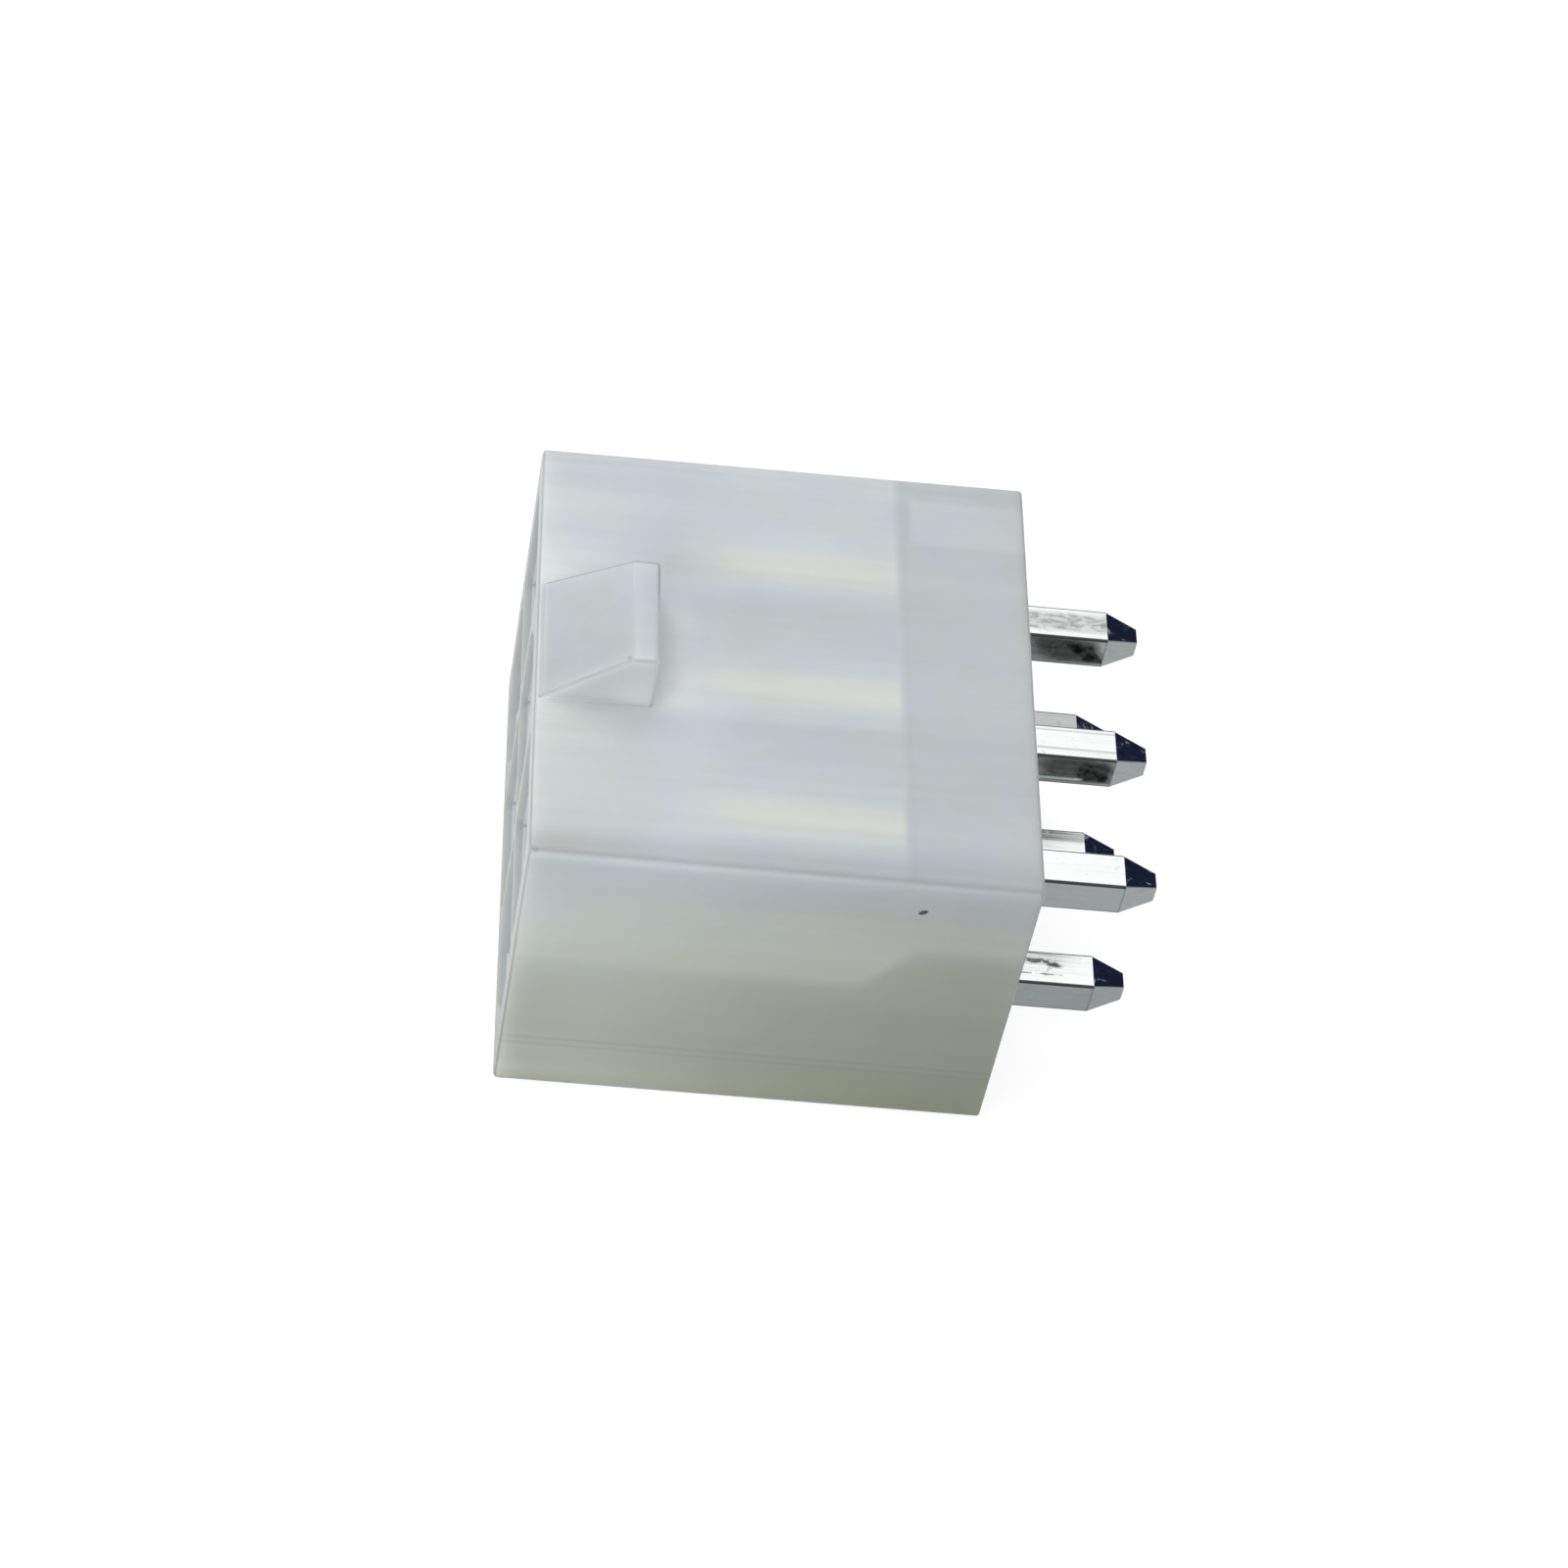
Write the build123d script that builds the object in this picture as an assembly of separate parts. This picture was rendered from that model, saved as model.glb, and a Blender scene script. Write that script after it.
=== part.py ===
"""Six-way straight board header of a wire-to-board power connector, 4.2 mm pitch.

One moulded nylon housing carries six square tinned posts in two rows of three. The header is drawn
upright first, seated on the board plane at z = 0 with its mouth up and its locking ramp towards +y,
and every finished piece is then laid on the wall opposite the ramp, as a loose header lies.
"""
from build123d import *
import os

os.makedirs("parts", exist_ok=True)

# Contact grid
column_count = 3
row_count = 2
pitch = 4.2

# Housing walls and heights, above the board plane
cell_size = 3.5
outer_wall = 0.95
housing_height = 12.8
floor_height = 3.4
wall_draft = 0.25
upright_edge_radius = 0.28
rim_radius = 0.12
base_edge_radius = 0.08

# Keyed cells: the plug's silos fit only one way round
key_chamfer = 0.95
cell_corner_radius = 0.15
mouth_lead_in = 0.18
cell_root_radius = 0.12

# Pockets that core out the corners of the thick base
pocket_depth = 2.9
pocket_end_wall = 0.6
pocket_row_length = 2.1
pocket_post_web = 0.2
pocket_corner_radius = 0.15

# Locking ramp, on the wall at +y
ramp_foot_width = 3.88
ramp_land_width = 3.4
ramp_height = 1.42
ramp_catch_depth = 3.0
ramp_land_length = 0.68
ramp_start_depth = 0.1
ramp_edge_radius = 0.1
ramp_root = 0.3

# Square posts
post_width = 1.07
post_edge_radius = 0.06
post_clearance = 0.015
tail_length = 3.45
tail_taper_length = 0.86
tail_tip_width = 0.54
mating_height = 9.2
mating_taper_length = 0.95
mating_tip_width = 0.5

# Worked out from the sizes above
column_x = [(i - (column_count - 1) / 2) * pitch for i in range(column_count)]
row_y = [((row_count - 1) / 2 - i) * pitch for i in range(row_count)]
housing_length = (column_count - 1) * pitch + cell_size + 2 * outer_wall
housing_width = (row_count - 1) * pitch + cell_size + 2 * outer_wall
back_y = -housing_width / 2
post_hole_width = post_width + 2 * post_clearance
cut_margin = 1.0


def outer_block():
    """Solid block with softened edges and moulding draft on three walls. The wall it lies on is true."""
    block = Box(housing_length, housing_width, housing_height, align=(Align.CENTER, Align.CENTER, Align.MIN))
    drafted = block.faces().group_by(Axis.Z)[1].sort_by(Axis.Y)[1:]
    block = draft(drafted, Plane.XY.offset(housing_height / 2), wall_draft)
    block = fillet(block.edges().group_by(Axis.Z)[1], upright_edge_radius)
    rim = block.faces().sort_by(Axis.Z)[-1].edges()
    block = fillet(rim, rim_radius)
    foot = block.faces().sort_by(Axis.Z)[0].edges()
    return fillet(foot, base_edge_radius)


def cell_outline(outward, keyed, growth=0.0):
    """Cell section: a square, or a square with the two corners on its outer side cut off at 45 degrees."""
    half = cell_size / 2 + growth
    cut = key_chamfer + growth * (2 - 2 ** 0.5) if keyed else 0
    if not keyed:
        return RectangleRounded(2 * half, 2 * half, cell_corner_radius + growth)
    corners = [
        (-half, -outward * half),
        (half, -outward * half),
        (half, outward * (half - cut)),
        (half - cut, outward * half),
        (-half + cut, outward * half),
        (-half, outward * (half - cut)),
    ]
    return fillet(make_face(Polyline(*corners, close=True)).vertices(), cell_corner_radius + growth)


def cell_cutter(x, y, keyed):
    """Straight cell from the floor to the mouth, with a short lead-in flare round the mouth."""
    outward = 1 if y > 0 else -1
    narrow = cell_outline(outward, keyed)
    wide = cell_outline(outward, keyed, mouth_lead_in)
    shaft = extrude(Plane.XY.offset(floor_height) * narrow, housing_height - floor_height)
    shaft = fillet(shaft.faces().sort_by(Axis.Z)[0].edges(), cell_root_radius)
    flare = loft([
        Plane.XY.offset(housing_height - mouth_lead_in) * narrow,
        Plane.XY.offset(housing_height) * wide,
    ], ruled=True)
    return Pos(x, y) * (shaft + flare)


def base_pocket(x_side, y_side):
    """Pocket moulded up into one corner of the base, beside the end post of its row."""
    outer_x = housing_length / 2 - pocket_end_wall
    inner_x = column_x[-1] + post_hole_width / 2 + pocket_post_web
    outer_y = housing_width / 2 - outer_wall
    inner_y = outer_y - pocket_row_length
    outline = RectangleRounded(outer_x - inner_x, outer_y - inner_y, pocket_corner_radius)
    pocket = extrude(Plane.XY.offset(-cut_margin) * outline, pocket_depth + cut_margin)
    return Pos(x_side * (outer_x + inner_x) / 2, y_side * (outer_y + inner_y) / 2) * pocket


def locking_ramp():
    """Wedge that the plug's latch rides up and snaps behind: slope, flat land and square catch face."""
    face_y = housing_width / 2
    top_y = face_y + ramp_height
    slope_start = housing_height - ramp_start_depth
    land_start = housing_height - ramp_catch_depth + ramp_land_length
    catch = housing_height - ramp_catch_depth
    side_view = [
        (face_y - ramp_root, slope_start),
        (face_y, slope_start),
        (top_y, land_start),
        (top_y, catch),
        (face_y - ramp_root, catch),
    ]
    side_face = Plane.YZ * make_face(Polyline(*side_view, close=True))
    wedge = extrude(side_face, ramp_foot_width, both=True)
    side_slope = (ramp_foot_width - ramp_land_width) / 2 / ramp_height
    root_half = ramp_foot_width / 2 + side_slope * ramp_root
    end_view = [
        (-root_half, face_y - ramp_root),
        (root_half, face_y - ramp_root),
        (ramp_land_width / 2, top_y),
        (-ramp_land_width / 2, top_y),
    ]
    sides = extrude(make_face(Polyline(*end_view, close=True)), housing_height)
    wedge = wedge & sides
    proud = wedge.edges().filter_by(lambda edge: edge.center().Y > face_y + ramp_edge_radius)
    return fillet(proud, ramp_edge_radius)


def contact_hole(x, y):
    """Square hole that holds one post, right through the base."""
    hole = extrude(Rectangle(post_hole_width, post_hole_width), floor_height + 2 * cut_margin)
    return Pos(x, y, -cut_margin) * hole


def make_housing():
    """Housing in one piece: block and ramp, less the cells, base pockets and post holes."""
    body = outer_block() + locking_ramp()
    for row, y in enumerate(row_y):
        for column, x in enumerate(column_x):
            body -= cell_cutter(x, y, keyed=(row + column) % 2 == 1)
            body -= contact_hole(x, y)
    for x_side in (-1, 1):
        for y_side in (-1, 1):
            body -= base_pocket(x_side, y_side)
    return body


def make_post():
    """Square wire post, drawn to a blunt four-sided point at both ends."""
    square = RectangleRounded(post_width, post_width, post_edge_radius)
    shaft_bottom = -tail_length + tail_taper_length
    shaft_top = mating_height - mating_taper_length
    shaft = extrude(Plane.XY.offset(shaft_bottom) * square, shaft_top - shaft_bottom)
    tail_tip = RectangleRounded(tail_tip_width, tail_tip_width, post_edge_radius)
    mating_tip = RectangleRounded(mating_tip_width, mating_tip_width, post_edge_radius)
    tail = loft([Plane.XY.offset(-tail_length) * tail_tip, Plane.XY.offset(shaft_bottom) * square], ruled=True)
    nose = loft([Plane.XY.offset(shaft_top) * square, Plane.XY.offset(mating_height) * mating_tip], ruled=True)
    return shaft + tail + nose


# Lay the header down: board plane towards +X, ramp up, and the middle of its length at the origin
board_x = (housing_height - tail_length) / 2
lying = Plane(origin=(board_x, 0, -back_y), x_dir=(0, -1, 0), z_dir=(-1, 0, 0)).location

pieces = {"housing": make_housing()}
post = make_post()
for row, y in enumerate(row_y):
    for column, x in enumerate(column_x):
        pieces[f"contact_post_{row * column_count + column + 1}"] = Pos(x, y) * post

for name, piece in pieces.items():
    export_step(lying * piece, f"parts/{name}.step")
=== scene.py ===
"""Looks of a six-way board header of a power connector: milky nylon housing, tin-plated posts."""
import math
import bpy
from mathutils import Matrix, Vector

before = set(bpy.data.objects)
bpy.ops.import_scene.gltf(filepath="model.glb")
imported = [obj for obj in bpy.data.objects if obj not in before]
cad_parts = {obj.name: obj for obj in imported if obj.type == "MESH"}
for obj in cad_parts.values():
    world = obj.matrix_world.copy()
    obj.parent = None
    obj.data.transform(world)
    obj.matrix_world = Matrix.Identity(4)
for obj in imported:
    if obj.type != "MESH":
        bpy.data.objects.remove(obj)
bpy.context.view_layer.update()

# The view.
# The header lies with its mouth to the left and its tails to the right, seen from above one end of it
# through a long lens, with the camera turned a little so that the tails run down to the right.
MM = 0.001
CAMERA_PLACE = Vector((-14.41, -75.32, 93.42)) * MM
CAMERA_AIM = Vector((0.1137, 0.6433, -0.7571))
CAMERA_UP = Vector((-0.0844, 0.7656, 0.6378))
CAMERA_LENS = 102.13
SENSOR_WIDTH = 36
NEAREST_SEEN = 0.001


def looking(place, aim, up):
    """Rigid transform that puts a camera or a lamp at place, looking along aim with up upwards."""
    back = -aim.normalized()
    right = up.cross(back).normalized()
    turn = Matrix((right, back.cross(right), back)).transposed()
    return Matrix.Translation(place) @ turn.to_4x4()


camera_data = bpy.data.cameras.new("camera")
camera_data.lens = CAMERA_LENS
camera_data.sensor_width = SENSOR_WIDTH
camera_data.clip_start = NEAREST_SEEN
camera = bpy.data.objects.new("camera", camera_data)
camera.matrix_world = looking(CAMERA_PLACE, CAMERA_AIM, CAMERA_UP)
bpy.context.scene.collection.objects.link(camera)
bpy.context.scene.camera = camera
bpy.context.scene.view_settings.view_transform = "Standard"


# The housing.
# One moulding in undyed nylon: milky and bluish where it is thin. Its cell walls, floor and posts, which
# show faintly through the outer walls, are painted light and shade; so is the olive where light has gone
# far through it.
PITCH = 4.2
BOARD_X = 4.675
MIDDLE_Z = 4.8
FACE_UP = 4.8
END_ACROSS = 6.9
FLOOR_HEIGHT = 3.4
MOUTH_HEIGHT = 12.8
SQUARE_ON = (0.6, 0.8)
PALE_NYLON = (0.680, 0.727, 0.742, 1)
COOL_NYLON = (0.673, 0.724, 0.764, 1)
WARM_NYLON_AND_LIGHT = (0.705, 0.74, 0.68, 1)
OLIVE_LIGHT_TINT = (0.665, 0.715, 0.53, 1)
SCATTER = 0.0013


class Shader:
    """Short way to add and join the nodes of one material."""

    def __init__(self, material):
        material.use_nodes = True
        self.tree = material.node_tree
        self.tree.nodes.clear()

    def feed(self, socket, value):
        """Links an output to an input socket, or sets the socket to a value."""
        if isinstance(value, bpy.types.NodeSocket):
            self.tree.links.new(value, socket)
        else:
            socket.default_value = value

    def node(self, kind, **inputs):
        """Adds a node. Keyword names are inputs if the node has them, and properties otherwise."""
        made = self.tree.nodes.new(kind)
        for key, value in inputs.items():
            name = key.replace("_", " ").lower()
            match = [socket for socket in made.inputs if socket.name.lower() == name]
            if match:
                self.feed(match[0], value)
            else:
                setattr(made, key, value)
        return made

    def math(self, operation, *values):
        """Output of a Math node on sockets or numbers."""
        made = self.node("ShaderNodeMath", operation=operation)
        for socket, value in zip(made.inputs, values):
            self.feed(socket, value)
        return made.outputs[0]

    def product(self, *values):
        """Product of any number of sockets or numbers."""
        total = values[0]
        for value in values[1:]:
            total = self.math("MULTIPLY", total, value)
        return total

    def largest(self, *values):
        """Largest of any number of sockets or numbers."""
        most = values[0]
        for value in values[1:]:
            most = self.math("MAXIMUM", most, value)
        return most

    def step(self, value, start, end, low=0.0, high=1.0):
        """Smooth step from low to high as value goes from start to end."""
        made = self.node("ShaderNodeMapRange", interpolation_type="SMOOTHSTEP", Value=value)
        for name, number in (("From Min", start), ("From Max", end), ("To Min", low), ("To Max", high)):
            made.inputs[name].default_value = number
        return made.outputs[0]

    def window(self, value, start, end, soft):
        """1 between start and end, and 0 outside, over soft edges."""
        rise = self.step(value, start - soft, start + soft)
        return self.product(rise, self.step(value, end - soft, end + soft, 1.0, 0.0))

    def curve(self, value, points):
        """Soft curve through (place, height) points, for a value from 0 to 1."""
        ramp = self.node("ShaderNodeValToRGB", Fac=value)
        ramp.color_ramp.interpolation = "EASE"
        for i, (at, height) in enumerate(points):
            stop = ramp.color_ramp.elements[i] if i < 2 else ramp.color_ramp.elements.new(at)
            stop.position = at
            stop.color = (height, height, height, 1)
        return ramp.outputs[0]

    def between(self, factor, low, high):
        """Number from low to high as factor goes from 0 to 1."""
        return self.math("MULTIPLY_ADD", factor, self.math("SUBTRACT", high, low), low)

    def lift(self, mask, amount):
        """1 where a mask is 0, and 1 plus an amount where it is 1, to lighten or darken a tone there."""
        return self.math("MULTIPLY_ADD", mask, amount, 1.0)

    def blend(self, factor, low, high, mode="MIX"):
        """Colour from low to high as factor goes from 0 to 1."""
        made = self.node("ShaderNodeMix", data_type="RGBA", blend_type=mode)
        for socket, value in zip((made.inputs[0], made.inputs[6], made.inputs[7]), (factor, low, high)):
            self.feed(socket, value)
        return made.outputs[2]

    def grey(self, tone):
        """Grey of one tone."""
        return self.node("ShaderNodeCombineColor", Red=tone, Green=tone, Blue=tone).outputs[0]

    def noise(self, place, scale, detail, distortion=0.0):
        """Noise from 0 to 1. Three scales, one for each axis, draw it out into streaks."""
        if isinstance(scale, tuple):
            place = self.node("ShaderNodeMapping", Vector=place, Scale=scale).outputs[0]
            scale = 1.0
        made = self.node("ShaderNodeTexNoise", Vector=place, Scale=scale)
        made.inputs["Detail"].default_value = detail
        made.inputs["Distortion"].default_value = distortion
        return made.outputs[0]

    def read_place(self):
        """Object coordinates, the place in mm (out of the base, across the columns and up from the middle
        of the rows) and the three parts of the surface normal."""
        coordinates = self.node("ShaderNodeTexCoord")
        place = coordinates.outputs["Object"]
        parts = self.node("ShaderNodeSeparateXYZ", Vector=place).outputs
        outward = self.math("SUBTRACT", self.math("DIVIDE", parts["X"], MM), BOARD_X)
        across = self.math("DIVIDE", parts["Y"], -MM)
        up = self.math("SUBTRACT", self.math("DIVIDE", parts["Z"], MM), MIDDLE_Z)
        facing = self.node("ShaderNodeSeparateXYZ", Vector=coordinates.outputs["Normal"]).outputs
        return place, outward, across, up, facing


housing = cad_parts["housing"]
nylon = bpy.data.materials.new("natural_nylon")
mix = Shader(nylon)
place, outward, across, up, facing = mix.read_place()
height = mix.math("MULTIPLY", outward, -1.0)
from_centre = mix.math("ABSOLUTE", across)
from_middle = mix.math("ABSOLUTE", up)

# The faces, each square on to an axis where that part of its normal passes SQUARE_ON
squarely = {side: mix.math("ABSOLUTE", facing[side]) for side in "XYZ"}
on_top = mix.product(
    mix.window(from_middle, FACE_UP - 0.2, FACE_UP + 0.1, 0.05),
    mix.step(squarely["Z"], *SQUARE_ON),
)
on_ramp = mix.step(up, FACE_UP + 0.03, FACE_UP + 0.07)
near_or_far_end = mix.step(from_centre, END_ACROSS - 0.3, END_ACROSS - 0.1)
on_end = mix.product(near_or_far_end, mix.step(squarely["Y"], *SQUARE_ON))
on_mouth = mix.step(height, MOUTH_HEIGHT - 0.12, MOUTH_HEIGHT - 0.02)

# Ramp face: each cell wall shows through as a dark line of painted shade, and each post as a warm band of
# painted light from the floor to its point
LINE_SHIFT = 1.9
WALL_SHADE_CURVE = [(0.0, 0.25), (0.05, 0.0), (0.12, 0.2), (0.2, 1.0), (0.84, 1.0), (0.92, 0.6), (1.0, 0.25)]
POST_LIGHT_CURVE = [(0.0, 0.05), (0.05, 0.0), (0.14, 0.1), (0.33, 0.2), (0.476, 0.43)]
POST_LIGHT_CURVE += [(0.6, 0.85), (0.69, 1.0), (0.78, 0.75), (0.9, 0.37), (1.0, 0.05)]
WALL_SHADE_TONES = (0.93, 1.0)
POST_LIGHT_TONES = (0.895, 1.085)
BASE_POST_LIGHT_TONES = (0.85, 0.89)
POCKET_LIGHT_GAIN = 0.10
FLOOR_SHADE_LOSS = 0.03
RAMP_PAINTED_LIGHT = 0.09
CATCH_PAINTED_LIGHT = 0.25
FAR_SIDE_PAINTED_LIGHT = 0.12
BRIGHTEST = 1.28
across_cell = mix.math("FRACT", mix.math("DIVIDE", mix.math("ADD", across, LINE_SHIFT), PITCH))
wall_shade_profile = mix.curve(across_cell, WALL_SHADE_CURVE)
post_light_profile = mix.curve(across_cell, POST_LIGHT_CURVE)
in_cells = mix.step(height, FLOOR_HEIGHT - 0.1, FLOOR_HEIGHT + 0.15)
post_light_bands = mix.product(in_cells, mix.step(height, 7.2, 9.6, 1.0, 0.0))
far_post_light = mix.step(across, -4.6, -3.0, 1.08, 1.0)
post_light_tone = mix.product(mix.between(post_light_profile, *POST_LIGHT_TONES), far_post_light)
cell_tone = mix.between(post_light_bands, mix.between(wall_shade_profile, *WALL_SHADE_TONES), post_light_tone)
over_base = mix.step(height, FLOOR_HEIGHT - 0.2, FLOOR_HEIGHT + 0.2)
cell_tone = mix.between(over_base, mix.between(post_light_profile, *BASE_POST_LIGHT_TONES), cell_tone)
# Painted shade along the far and near edges of the face
far_edge_shade = mix.step(across, -6.45, -6.2, 0.93, 1.0)
near_edge_shade = mix.step(across, END_ACROSS - 1.2, END_ACROSS, 1.0, 0.80)
# Painted light over the pocket in the base at the far end
pocket_painted_light = mix.product(mix.window(across, -6.05, -4.5, 0.12), mix.window(height, -1.0, 3.05, 0.1))
# Painted shade: a faint darker line where the cell floor shows through
floor_shade_line = mix.window(height, FLOOR_HEIGHT - 0.2, FLOOR_HEIGHT + 0.05, 0.1)
# Painted shade by the mouth, a little lighter at the far side and darker at the near side
mouth_side_shade = mix.between(mix.step(height, 8.8, 10.2), 1.0, mix.step(across, -4.0, 4.0, 1.02, 0.96))
# Painted light beside the ramp, at its catch and along its far side, lifting the face where the ramp's
# shadow falls
painted_light_by_ramp = mix.product(mix.step(height, 6.8, 9.0), mix.window(across, -2.5, 2.9, 0.6))
painted_light_by_catch = mix.product(mix.window(height, 8.9, 10.4, 0.6), mix.window(across, -1.8, 1.9, 0.45))
painted_light_by_far_side = mix.product(mix.step(height, 9.3, 10.3), mix.window(across, -3.4, -1.7, 0.6))
ramp_painted_light = mix.lift(painted_light_by_ramp, RAMP_PAINTED_LIGHT)
ramp_painted_light = mix.math("MULTIPLY_ADD", painted_light_by_catch, CATCH_PAINTED_LIGHT, ramp_painted_light)
ramp_painted_light = mix.math("MULTIPLY_ADD", painted_light_by_far_side, FAR_SIDE_PAINTED_LIGHT, ramp_painted_light)
top_tone = mix.product(cell_tone, far_edge_shade, near_edge_shade, mouth_side_shade, ramp_painted_light)
top_tone = mix.product(top_tone, mix.lift(pocket_painted_light, POCKET_LIGHT_GAIN), mix.lift(floor_shade_line, -FLOOR_SHADE_LOSS))
top_tone = mix.math("MINIMUM", top_tone, BRIGHTEST)
# Warm tint of the painted light of the posts
warm_post_light = mix.product(mix.step(post_light_profile, 0.35, 1.0, 0.0, 0.8), post_light_bands)
warm_base = mix.step(height, 0.0, 0.9, 0.35, 0.0)
warm_mouth = mix.product(mix.step(height, 9.0, 11.5, 0.0, 0.4), mix.step(across, -4.0, 2.5))
top_warmth = mix.largest(warm_post_light, warm_base, warm_mouth)

# Locking ramp, in painted light and shade: its slope a little darker than its land, its near side shaded
# to match the slope, a thin painted dark line along its far edge, and a catch face that darkens towards
# that edge
LAND_START = (10.35, 10.5)
LAND_LIT_TONE = 0.94
RAMP_EDGE_SHADE_TONE = 0.30
NEAR_SIDE_PAINTED_WARMTH = 0.4
square_near_side = mix.step(facing["Y"], -0.80, -0.97)
slope_shade_tone = mix.between(mix.step(height, *LAND_START), LAND_LIT_TONE, mix.step(across, -1.5, 1.5, 0.87, 0.80))
near_side_shade_up = mix.step(up, 4.9, 6.1, 1.06, 0.88)
near_side_shade_along = mix.step(height, 9.9, 11.8, 1.0, 0.83)
ramp_near_side_shading = mix.product(mix.between(square_near_side, 0.78, 1.0), near_side_shade_up, near_side_shade_along)
ramp_tone = mix.between(mix.step(facing["Y"], -0.05, -0.25), slope_shade_tone, ramp_near_side_shading)
catch_shade_tone = mix.step(across, -1.2, 0.2, 0.65, 0.98)
ramp_tone = mix.between(mix.step(facing["X"], 0.1, 0.4), ramp_tone, catch_shade_tone)
ramp_edge_shade_line = mix.product(mix.step(facing["Y"], 0.1, 0.4), on_ramp)
ramp_tone = mix.between(ramp_edge_shade_line, ramp_tone, RAMP_EDGE_SHADE_TONE)

# End faces, in painted light and shade: darker and more olive towards the floor and the base, with a step
# at the wall between rows, two dark lines at the lowest wall, and painted light by the mouth
OLIVE_LIGHT_CURVE = [(0.0, 1.0), (0.04, 0.95), (0.12, 0.75), (0.6, 0.62), (0.88, 0.35), (1.0, 0.0)]
WALL_SHADE_LOSS = 0.11
MOUTH_PAINTED_LIGHT_GAIN = 0.22
BASE_SHADE_LOSS = 0.035
step_up = mix.math("ADD", up, mix.step(height, 2.6, 4.2, -1.5, 0.0))
row_step_shade = mix.between(mix.step(step_up, 0.1, 0.85), mix.step(height, 0.0, 12.5, 0.79, 0.92), 1.0)
wall_shade_lines = mix.math("ADD", mix.window(up, -3.06, -2.98, 0.04), mix.window(up, -2.80, -2.72, 0.04))
lowest_wall_shade = mix.math("MULTIPLY_ADD", wall_shade_lines, -WALL_SHADE_LOSS, mix.step(up, -3.2, -3.05, 0.985, 1.0))
mouth_painted_light = mix.product(mix.step(up, -4.5, -2.0, 1.0, 0.0), mix.step(height, 2.0, 12.0))
base_shade = mix.product(mix.step(height, 5.0, 8.0, 1.0, 0.0), mix.step(up, -1.0, 1.0, 1.0, 0.0))
shade_up = mix.product(mix.step(up, -6.0, 5.0, 0.77, 1.02), mix.step(up, 2.2, 4.4, 1.0, 0.92))
shade_along = mix.step(height, -2.0, 13.0, 0.83, 1.07)
end_tone = mix.product(row_step_shade, lowest_wall_shade, shade_up, shade_along)
end_tone = mix.product(end_tone, mix.lift(mouth_painted_light, MOUTH_PAINTED_LIGHT_GAIN), mix.lift(base_shade, -BASE_SHADE_LOSS))
# Painted olive tint of light that has gone through much of the nylon, strongest low down and by the base
olive_light_tint = mix.curve(mix.step(up, -FACE_UP, FACE_UP), OLIVE_LIGHT_CURVE)
olive_light_tint = mix.product(olive_light_tint, mix.step(height, 2.0, 13.0, 1.0, 0.6))

# Mouth face: painted shade makes it a little darker than the walls and darker towards the bottom, and
# painted light makes the lead-ins round the cells paler
LEAD_IN_LIGHT_TONE = 1.12
lead_in = mix.window(facing["X"], -0.9, -0.4, 0.1)
inside = mix.step(from_centre, END_ACROSS - 0.4, END_ACROSS - 0.3, 1.0, 0.0)
inside = mix.product(inside, mix.step(from_middle, FACE_UP - 0.4, FACE_UP - 0.3, 1.0, 0.0))
rim_shade_tone = mix.step(up, -FACE_UP, FACE_UP, 0.69, 0.94)
mouth_tone = mix.between(mix.product(lead_in, inside), rim_shade_tone, LEAD_IN_LIGHT_TONE)

# A dark speck on the near end face, and a smaller one on the ramp beside its land
SPECK_HEIGHT = 2.87
SPECK_UP = 4.67
SPECK_SLANT = 0.35
SPECK_LENGTH = 0.12
SPECK_WIDTH = 0.09
SPECK_LOSS = 0.93
RAMP_SPECK_SHARE = 0.3
speck_along = mix.math("DIVIDE", mix.math("SUBTRACT", height, SPECK_HEIGHT), SPECK_LENGTH)
speck_over = mix.math("SUBTRACT", mix.math("MULTIPLY_ADD", height, SPECK_SLANT, up), SPECK_UP)
speck_over = mix.math("DIVIDE", speck_over, SPECK_WIDTH)
speck_far = mix.math("ADD", mix.product(speck_along, speck_along), mix.product(speck_over, speck_over))
on_near_end = mix.step(across, END_ACROSS - 0.3, END_ACROSS - 0.1)
end_speck = mix.product(mix.step(speck_far, 0.5, 1.4, 1.0, 0.0), on_near_end)
ramp_speck = mix.product(mix.window(height, 10.50, 10.60, 0.03), mix.window(across, 1.53, 1.63, 0.03))
ramp_speck = mix.product(ramp_speck, on_ramp)
speck = mix.math("MULTIPLY_ADD", ramp_speck, RAMP_SPECK_SHARE, end_speck)

# Moulded surface: faint clouds in the nylon, fine flow lines from base to mouth, and painted shade on the
# edges
CLOUD_SCALE = 260.0
CLOUD_DEPTH = 0.16
FLOW_SCALES = (120.0, 2400.0, 2400.0)
FLOW_DEPTH = 0.10
TINT_SCALE = 700.0
GRAIN_SCALE = 9000.0
GRAIN_HEIGHT = 0.00002
SATIN = 0.38
NYLON_IOR = 1.53
FAR_EDGE_SHADE_TONE = 0.80
RIM_EDGE_SHADE_TONE = 0.65
OLIVE_LIGHT_ON_MOUTH = 0.6
DARK_SCATTER_LOSS = 0.8
cloud = mix.noise(place, CLOUD_SCALE, 3.0)
flow = mix.noise(place, FLOW_SCALES, 2.0)
clouds = mix.math("MULTIPLY_ADD", cloud, CLOUD_DEPTH, 1.0 - CLOUD_DEPTH / 2 - FLOW_DEPTH / 2)
clouds = mix.math("MULTIPLY_ADD", flow, FLOW_DEPTH, clouds)
tint = mix.noise(place, TINT_SCALE, 2.0)
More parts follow.
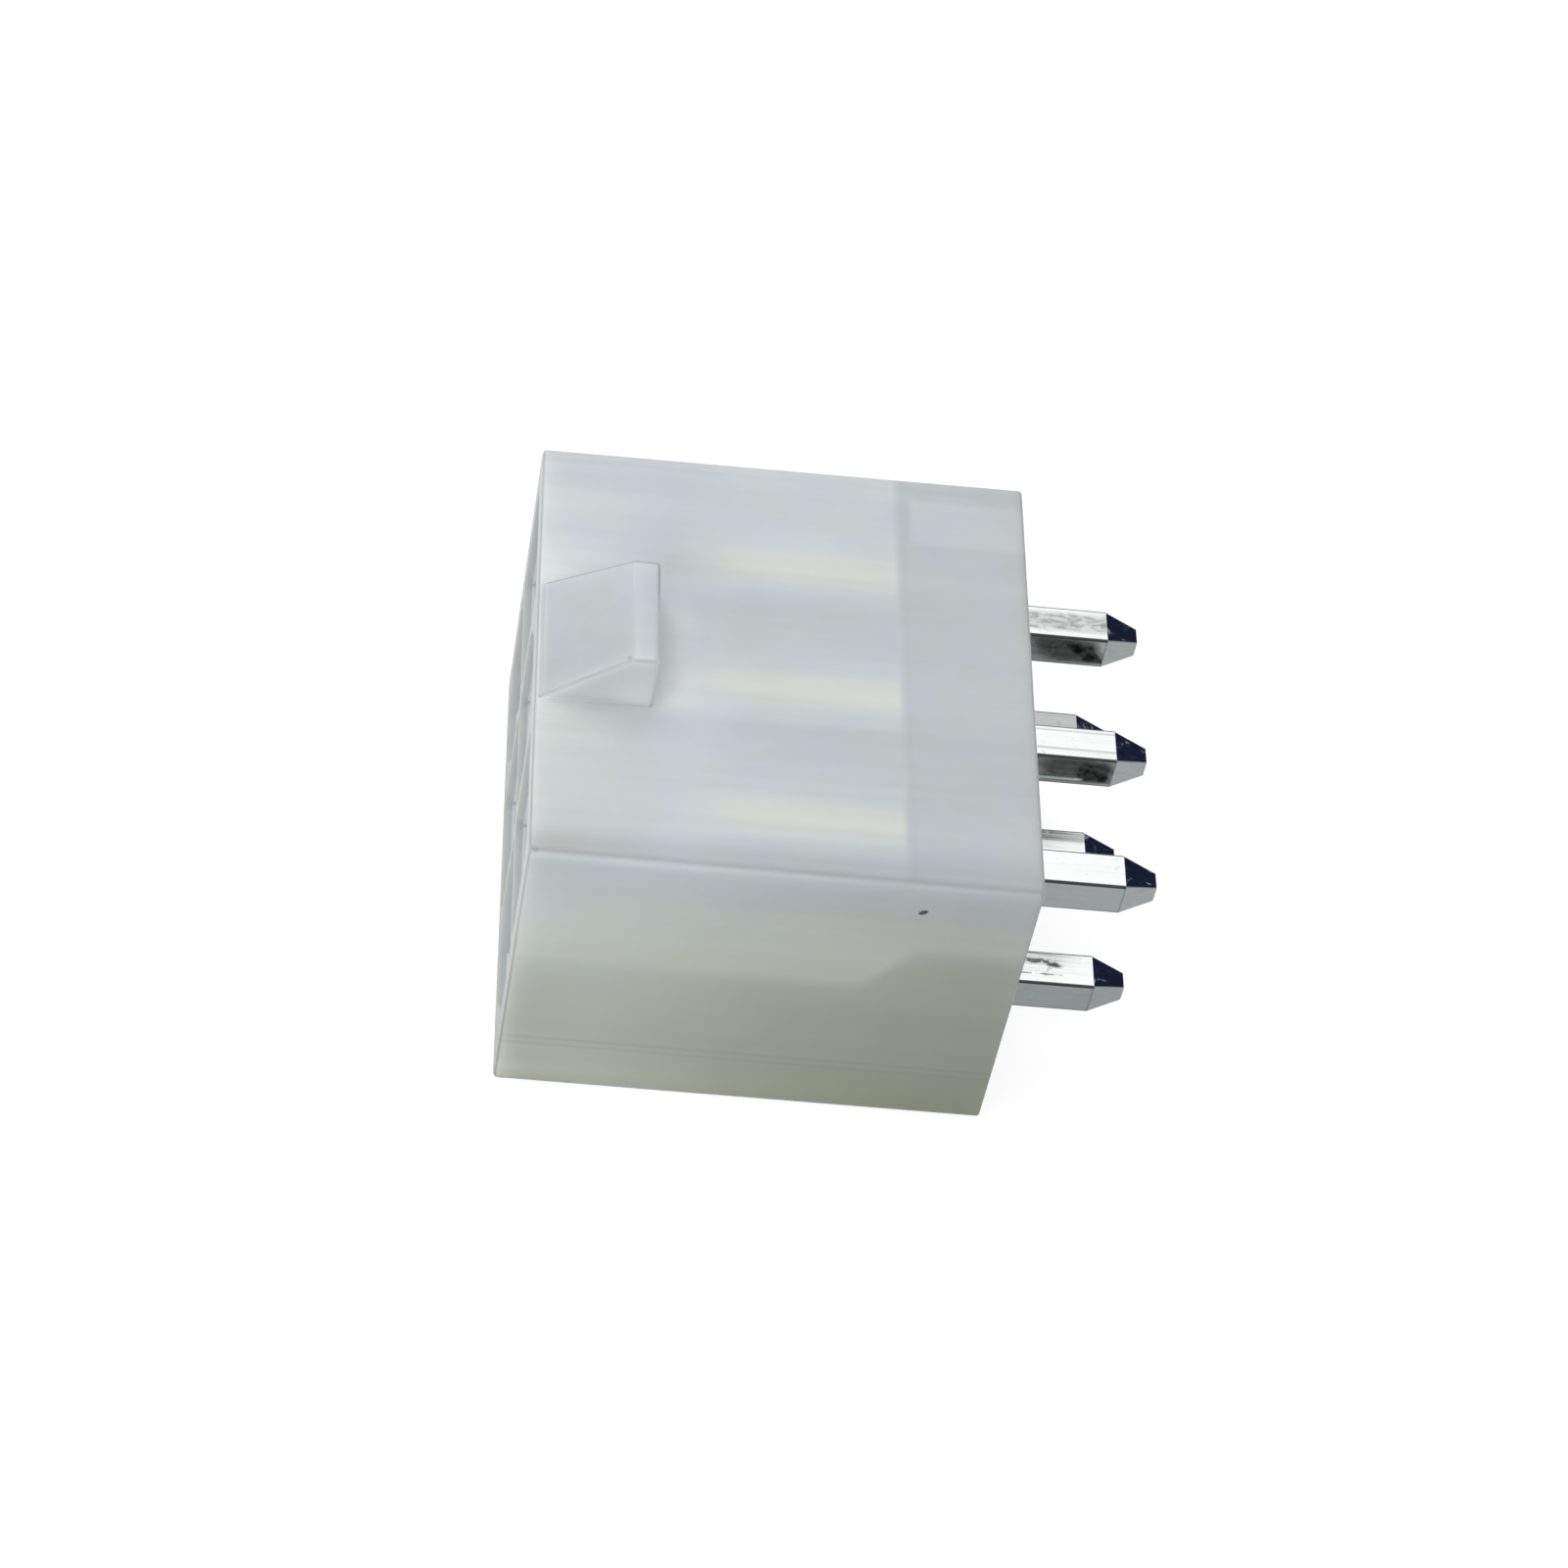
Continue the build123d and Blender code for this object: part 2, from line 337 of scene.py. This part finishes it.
# Painted shade on the rounded edges and the mouth rim
near_edge_shade_tone = mix.step(facing["Z"], 0.5, 0.9, 0.76, 0.90)
edge_shade = mix.between(mix.step(across, -6.0, 6.0), FAR_EDGE_SHADE_TONE, near_edge_shade_tone)
edge_shade = mix.between(mix.step(height, MOUTH_HEIGHT - 0.3, MOUTH_HEIGHT - 0.2), edge_shade, RIM_EDGE_SHADE_TONE)
not_an_edge = mix.step(mix.largest(*squarely.values()), 0.72, 0.98)
edge_shade_tone = mix.between(mix.largest(on_ramp, not_an_edge), edge_shade, 1.0)

colour = mix.blend(mix.step(tint, 0.35, 0.65), COOL_NYLON, PALE_NYLON)
# Painted warm tint on the ramp's near side, against the bluish cast of the light on it
ramp_near_side_painted_warmth = mix.product(square_near_side, on_ramp, NEAR_SIDE_PAINTED_WARMTH)
colour = mix.blend(mix.largest(mix.product(top_warmth, on_top), ramp_near_side_painted_warmth), colour, WARM_NYLON_AND_LIGHT)
olive_light_there = mix.largest(on_end, mix.product(on_mouth, OLIVE_LIGHT_ON_MOUTH))
colour = mix.blend(mix.product(olive_light_tint, olive_light_there), colour, OLIVE_LIGHT_TINT)
tone = mix.product(clouds, edge_shade_tone, mix.lift(speck, -SPECK_LOSS))
for where, local in ((on_top, top_tone), (on_ramp, ramp_tone), (on_end, end_tone), (on_mouth, mouth_tone)):
    tone = mix.product(tone, mix.between(where, 1.0, local))
grain = mix.noise(place, GRAIN_SCALE, 2.0)
relief = mix.node("ShaderNodeBump", Height=grain, Strength=0.25, Distance=GRAIN_HEIGHT)
body = mix.node(
    "ShaderNodeBsdfPrincipled",
    Base_Color=mix.blend(1.0, colour, mix.grey(tone), "MULTIPLY"),
    Normal=relief.outputs[0],
    Roughness=SATIN,
    IOR=NYLON_IOR,
    Subsurface_Weight=mix.lift(mix.largest(speck, ramp_edge_shade_line), -DARK_SCATTER_LOSS),
    Subsurface_Radius=(1.0, 1.0, 1.0),
    Subsurface_Scale=SCATTER,
)
mix.node("ShaderNodeOutputMaterial", Surface=body.outputs[0])
housing.data.materials.clear()
housing.data.materials.append(nylon)

# The six posts.
# Square brass wire, bright tin plated, drawn to a blunt four-sided point at both ends and pressed through
# the base of the housing. The ramp-side tails are mottled, their near sides with painted dark reflections,
# and one lower tail is scratched.
TIN = (0.70, 0.73, 0.715, 1)
NEAR_SIDE_SHADED_TIN = (0.65, 0.71, 0.70, 1)
POST_HALF = 0.535
SHAFT_END = 2.59

tin = bpy.data.materials.new("tin_plate")
mix = Shader(tin)
place, outward, across, up, facing = mix.read_place()
column = mix.math("ROUND", mix.math("DIVIDE", across, PITCH))
beside = mix.math("SUBTRACT", across, mix.math("MULTIPLY", column, PITCH))
over = mix.math("SUBTRACT", up, mix.math("MULTIPLY", mix.math("SIGN", up), PITCH / 2))
upper_row = mix.step(up, -0.1, 0.1)
lower_row = mix.math("SUBTRACT", 1.0, upper_row)
far_column = mix.step(column, -0.6, -0.4, 1.0, 0.0)
near_column = mix.step(column, 0.4, 0.6)
not_near_column = mix.math("SUBTRACT", 1.0, near_column)
middle_column = mix.math("SUBTRACT", not_near_column, far_column)
on_top = mix.step(facing["Z"], *SQUARE_ON)
on_near = mix.step(mix.math("MULTIPLY", facing["Y"], -1.0), *SQUARE_ON)
on_shaft = mix.step(outward, SHAFT_END - 0.02, SHAFT_END + 0.02, 1.0, 0.0)
on_point = mix.math("SUBTRACT", 1.0, on_shaft)

# Drawing lines along the wire, and a faint mottle in the plating
DRAWN_SCALES = (250.0, 9000.0, 9000.0)
DRAWN_DEPTH = 0.30
DRAWN_HEIGHT = 0.00001
MOTTLE_SCALE = 3500.0
MOTTLE_DEPTH = 0.12
BLOTCH_SCALE = 1500.0
drawn = mix.noise(place, DRAWN_SCALES, 3.0)
mottle = mix.noise(place, MOTTLE_SCALE, 4.0, 0.6)
blotch = mix.noise(place, BLOTCH_SCALE, 3.0, 0.8)
plating = mix.math("MULTIPLY_ADD", drawn, DRAWN_DEPTH, 1.0 - DRAWN_DEPTH / 2 - MOTTLE_DEPTH / 2)
plating = mix.math("MULTIPLY_ADD", mottle, MOTTLE_DEPTH, plating)

# Tops of the tails: two fine lines on the middle one, a mottled band on the far one, a scratch below, and
# painted shade on the lower tops
FINE_LINE_LOSS = 0.32
SPOT_SCALES = (2600.0, 7000.0, 7000.0)
SCRATCH_SLANT = -0.12
SCRATCH_WANDER = 0.5
SCRATCH_LOSS = 0.85
LOWER_TOP_SHADE_LOSS = 0.46
fine_lines = mix.math("ADD", mix.window(beside, -0.40, -0.34, 0.02), mix.window(beside, 0.20, 0.28, 0.02))
fine_lines = mix.product(fine_lines, middle_column, upper_row)
band = mix.product(mix.window(beside, -0.32, 0.28, 0.10), far_column, upper_row)
spots = mix.noise(place, SPOT_SCALES, 4.0, 0.6)
speckles = mix.between(band, 1.0, mix.step(spots, 0.34, 0.62, 0.38, 0.74))
scratch_path = mix.math("MULTIPLY_ADD", outward, SCRATCH_SLANT, beside)
scratch_path = mix.math("MULTIPLY_ADD", blotch, SCRATCH_WANDER, scratch_path)
scratch = mix.largest(mix.window(scratch_path, -0.16, 0.0, 0.04), mix.window(beside, 0.20, 0.24, 0.02))
scratch = mix.product(scratch, mix.window(outward, 0.3, 1.75, 0.1), near_column, lower_row)
scratch = mix.product(scratch, mix.step(mottle, 0.40, 0.55))
# Painted shade on the far lower top and on part of the middle lower top
lower_top_shade = mix.math("ADD", far_column, mix.product(middle_column, mix.window(beside, -0.45, -0.12, 0.08)))
lower_top_shade = mix.product(lower_top_shade, lower_row)
top_tone = mix.product(speckles, mix.lift(fine_lines, -FINE_LINE_LOSS))
top_tone = mix.product(top_tone, mix.lift(scratch, -SCRATCH_LOSS), mix.lift(lower_top_shade, -LOWER_TOP_SHADE_LOSS))

# Near sides of the tails, in painted reflection: darker as they mirror the shaded floor, darkly mottled
# where the next tail stands close in front, with a painted highlight strip on the middle one
NEAR_SIDE_REFLECTION_TONE = 0.45
LOWEST_SIDE_REFLECTION_TONE = 0.39
DARK_REFLECTION_TONE = 0.46
DARKER_REFLECTION_TONE = 0.13
DARKEST_REFLECTION_TONE = 0.012
HIGHLIGHT_STRIP_TONE = 0.75
FAR_SLANT = 0.9
dark_reflection_zone = mix.product(upper_row, not_near_column, on_shaft)
stretch = mix.math("MULTIPLY_ADD", mix.product(over, far_column), FAR_SLANT, outward)
stretch = mix.math("ADD", blotch, stretch)
dark_reflection = mix.product(mix.window(stretch, 1.3, 3.1, 0.25), mix.window(over, -0.40, 0.46, 0.06))
dark_reflection = mix.product(dark_reflection, mix.math("MULTIPLY_ADD", mottle, 0.8, 0.5))
darkest_reflection = mix.product(mix.window(stretch, 2.25, 2.95, 0.12), mix.window(over, -0.36, 0.32, 0.08))
painted_highlight_strip = mix.product(mix.window(over, -0.36, -0.26, 0.03), mix.window(outward, 0.4, 1.8, 0.1))
dark_reflection_tone = mix.between(dark_reflection, DARK_REFLECTION_TONE, mix.between(darkest_reflection, DARKER_REFLECTION_TONE, DARKEST_REFLECTION_TONE))
dark_reflection_tone = mix.between(mix.product(painted_highlight_strip, middle_column), dark_reflection_tone, HIGHLIGHT_STRIP_TONE)
near_side_reflection_tone = mix.between(mix.product(near_column, lower_row), NEAR_SIDE_REFLECTION_TONE, LOWEST_SIDE_REFLECTION_TONE)
tail_near_side_shading = mix.between(dark_reflection_zone, near_side_reflection_tone, dark_reflection_tone)

# Painted dark reflections: thin lines along the four edges of the wire and where each point begins
EDGE_REFLECTION_LOSS = 0.82
POINT_REFLECTION_LOSS = 0.3
edge_reach = mix.math("ADD", mix.math("ABSOLUTE", beside), mix.math("ABSOLUTE", over))
far_edge_reflection_line = mix.product(mix.step(beside, -0.45, -0.50), on_top)
edge_reflection_line = mix.largest(far_edge_reflection_line, mix.step(edge_reach, 2 * POST_HALF - 0.08, 2 * POST_HALF - 0.05))
edge_reflection_line = mix.product(edge_reflection_line, on_shaft)
point_reflection_line = mix.product(mix.window(outward, SHAFT_END - 0.03, SHAFT_END + 0.02, 0.02), on_near)
reflection_line_tone = mix.product(mix.lift(edge_reflection_line, -EDGE_REFLECTION_LOSS), mix.lift(point_reflection_line, -POINT_REFLECTION_LOSS))

# The plate: smoother on the points, with duller specks in the mottle
POINT_ROUGHNESS = 0.03
SHAFT_ROUGHNESS = 0.11
DRAWN_ROUGHNESS = 0.10
tone = mix.product(plating, mix.between(on_near, 1.0, tail_near_side_shading), reflection_line_tone)
tone = mix.product(tone, mix.between(mix.product(on_top, on_shaft), 1.0, top_tone))
# Painted shaded copy of the tin on the near sides
colour = mix.blend(on_near, TIN, NEAR_SIDE_SHADED_TIN)
roughness = mix.between(on_shaft, POINT_ROUGHNESS, SHAFT_ROUGHNESS)
roughness = mix.math("MULTIPLY_ADD", drawn, DRAWN_ROUGHNESS, roughness)
roughness = mix.math("ADD", roughness, mix.step(mottle, 0.60, 0.70, 0.0, 0.22))
roughness = mix.math("ADD", roughness, mix.product(on_point, mix.step(mottle, 0.44, 0.68, 0.0, 0.12)))
relief = mix.node("ShaderNodeBump", Height=drawn, Strength=0.3, Distance=DRAWN_HEIGHT)
metal = mix.node(
    "ShaderNodeBsdfPrincipled",
    Base_Color=mix.blend(1.0, colour, mix.grey(tone), "MULTIPLY"),
    Metallic=1.0,
    Roughness=roughness,
    Normal=relief.outputs[0],
)
mix.node("ShaderNodeOutputMaterial", Surface=metal.outputs[0])
for name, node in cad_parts.items():
    if name.startswith("contact_post"):
        node.data.materials.clear()
        node.data.materials.append(tin)

# The studio.
# A pale floor, one large soft box above and behind, a fill lamp in front of the near end, and a dim room
# that is lighter on the left and has a dark blue screen at the back right, which the tail points mirror.
FLOOR_HALF = 1.5
FLOOR_COLOUR = (0.3, 0.3, 0.3, 1)
FLOOR_GLOW = 0.85
BOX_AIM = Vector((0.12, -0.62, -0.78))
BOX_DISTANCE = 0.42
BOX_SIZE = (0.50, 0.42)
BOX_RADIANCE = 1.12
FILL_AIM = Vector((0.45, 0.80, -0.40))
FILL_DISTANCE = 0.45
FILL_SIZE = (0.50, 0.30)
FILL_RADIANCE = 1.70
ROOM_SIDE = Vector((-0.75, -0.35, 0.56))
ROOM_SPREAD = (-0.6, 1.0)
ROOM_DARK = 0.12
ROOM_LIGHT = 0.75
SCREEN_WAY = Vector((0.60, 0.60, 0.52))
SCREEN_EDGE = (0.85, 0.93)
SCREEN_TONE = (0.012, 0.017, 0.042, 1)
HORIZON = (0.20, 0.32)
WHITE = (1, 1, 1, 1)
UPWARDS = Vector((0, 0, 1))


def seen_as_white(shader):
    """1 for the rays that show the background: to the camera, and mirrored or seen through."""
    path = shader.node("ShaderNodeLightPath").outputs
    return shader.largest(path["Is Camera Ray"], path["Is Glossy Ray"], path["Is Transmission Ray"])


floor_mesh = bpy.data.meshes.new("floor")
corners = [(x * FLOOR_HALF, y * FLOOR_HALF, 0) for x, y in ((-1, -1), (1, -1), (1, 1), (-1, 1))]
floor_mesh.from_pydata(corners, [], [(0, 1, 2, 3)])
floor = bpy.data.objects.new("floor", floor_mesh)
bpy.context.scene.collection.objects.link(floor)
floor_paint = bpy.data.materials.new("floor")
mix = Shader(floor_paint)
glow = mix.node("ShaderNodeEmission", Strength=mix.math("MULTIPLY", seen_as_white(mix), FLOOR_GLOW))
paint = mix.node("ShaderNodeBsdfDiffuse", Color=FLOOR_COLOUR)
both = mix.node("ShaderNodeAddShader")
mix.feed(both.inputs[0], glow.outputs[0])
mix.feed(both.inputs[1], paint.outputs[0])
mix.node("ShaderNodeOutputMaterial", Surface=both.outputs[0])
floor_mesh.materials.append(floor_paint)


def area_light(name, aim, distance, size, radiance):
    """Rectangular lamp of one even radiance, aimed at the header."""
    lamp = bpy.data.lights.new(name, "AREA")
    lamp.shape = "RECTANGLE"
    lamp.size, lamp.size_y = size
    lamp.energy = radiance * math.pi * size[0] * size[1]
    lamp_object = bpy.data.objects.new(name, lamp)
    lamp_object.matrix_world = looking(-aim.normalized() * distance, aim, UPWARDS)
    bpy.context.scene.collection.objects.link(lamp_object)


area_light("soft_box", BOX_AIM, BOX_DISTANCE, BOX_SIZE, BOX_RADIANCE)
area_light("fill", FILL_AIM, FILL_DISTANCE, FILL_SIZE, FILL_RADIANCE)

room = bpy.data.worlds.new("room")
bpy.context.scene.world = room
mix = Shader(room)
way = mix.node("ShaderNodeTexCoord").outputs["Generated"]


def towards(direction):
    """How squarely a ray heads in a direction, from -1 to 1."""
    dot = mix.node("ShaderNodeVectorMath", operation="DOT_PRODUCT")
    mix.feed(dot.inputs[0], way)
    mix.feed(dot.inputs[1], direction.normalized())
    return dot.outputs["Value"]


level = mix.node("ShaderNodeMapRange", Value=towards(ROOM_SIDE))
level.inputs["From Min"].default_value, level.inputs["From Max"].default_value = ROOM_SPREAD
level.inputs["To Min"].default_value = ROOM_DARK
level.inputs["To Max"].default_value = ROOM_LIGHT
screen = mix.step(towards(SCREEN_WAY), *SCREEN_EDGE)
horizon = mix.step(towards(UPWARDS), *HORIZON, 1.0, 0.0)
air_colour = mix.blend(screen, mix.grey(level.outputs[0]), SCREEN_TONE)
air_colour = mix.blend(mix.product(seen_as_white(mix), horizon), air_colour, WHITE)
air = mix.node("ShaderNodeBackground", Color=air_colour)
mix.node("ShaderNodeOutputWorld", Surface=air.outputs[0])
